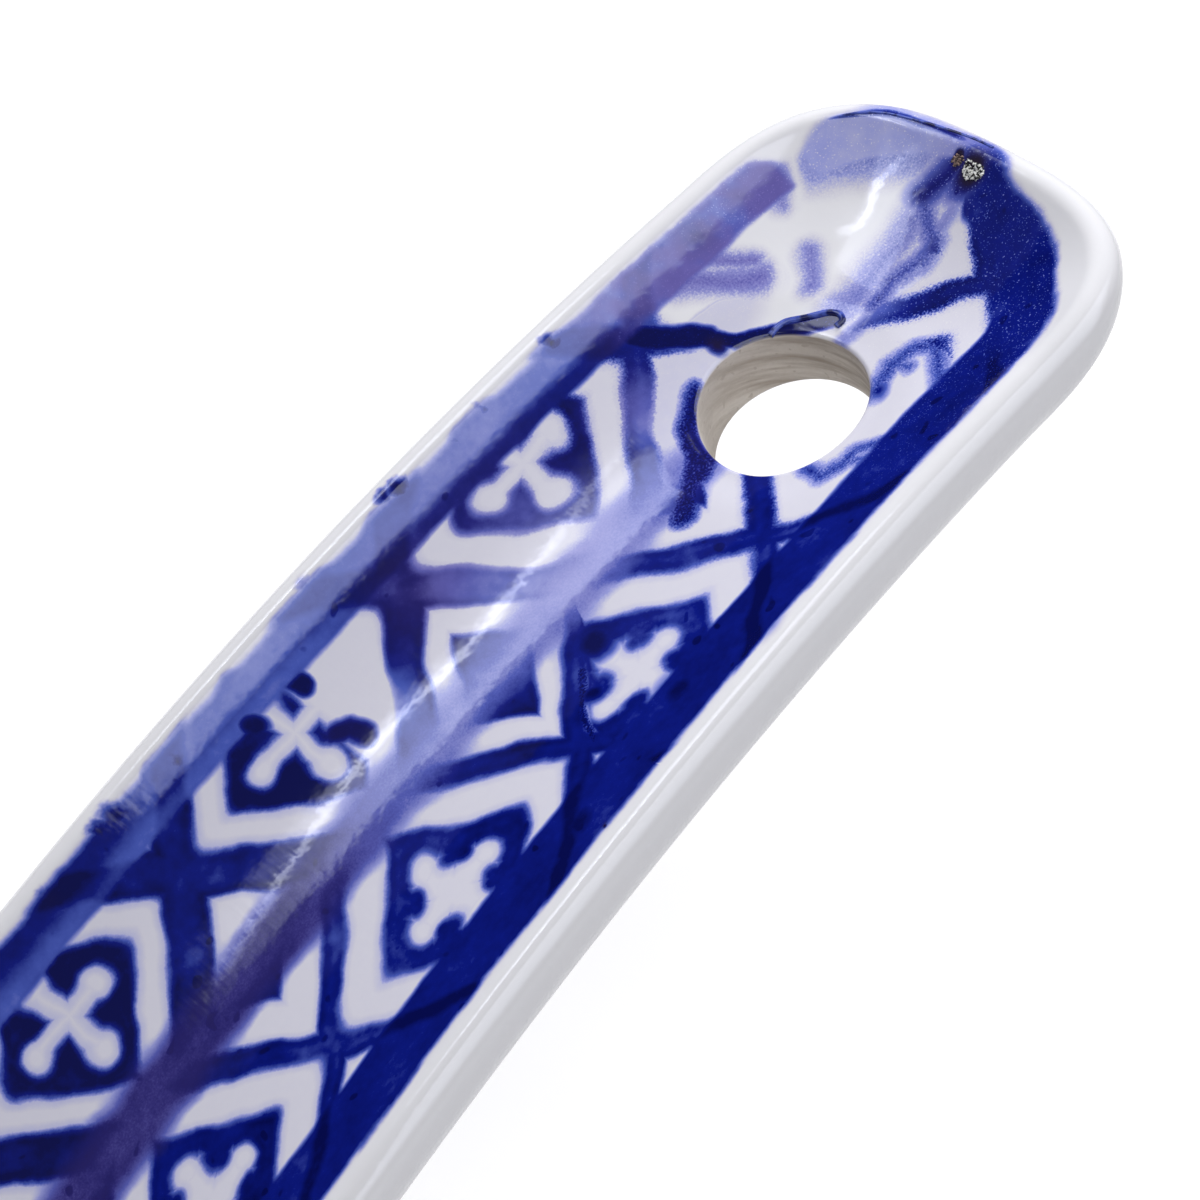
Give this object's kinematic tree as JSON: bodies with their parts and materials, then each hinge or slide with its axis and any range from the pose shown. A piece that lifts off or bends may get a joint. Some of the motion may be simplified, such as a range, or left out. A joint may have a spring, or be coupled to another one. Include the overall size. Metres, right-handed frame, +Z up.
{
  "type": "chinese soup spoon",
  "caption": "Porcelain soup spoon with a deep flat-bottomed bowl, a raised trough handle with a hanging hole, and a printed cobalt rim band.",
  "frame": {"origin": "on the flat foot, under the widest place of the bowl", "axes": "+X from the bowl towards the tip of the handle, +Y to the left when looking along +X with the bowl open upwards, +Z up out of the bowl"},
  "size_m": [0.1339, 0.043, 0.0462],
  "materials": {
    "porcelain": "glossy clear glaze over white porcelain",
    "cobalt_print": "cobalt underglaze print beneath the same clear glaze"
  },
  "bodies": {
    "root": {"porcelain_body": "porcelain", "cobalt_band": "cobalt_print"}
  },
  "joints": []
}
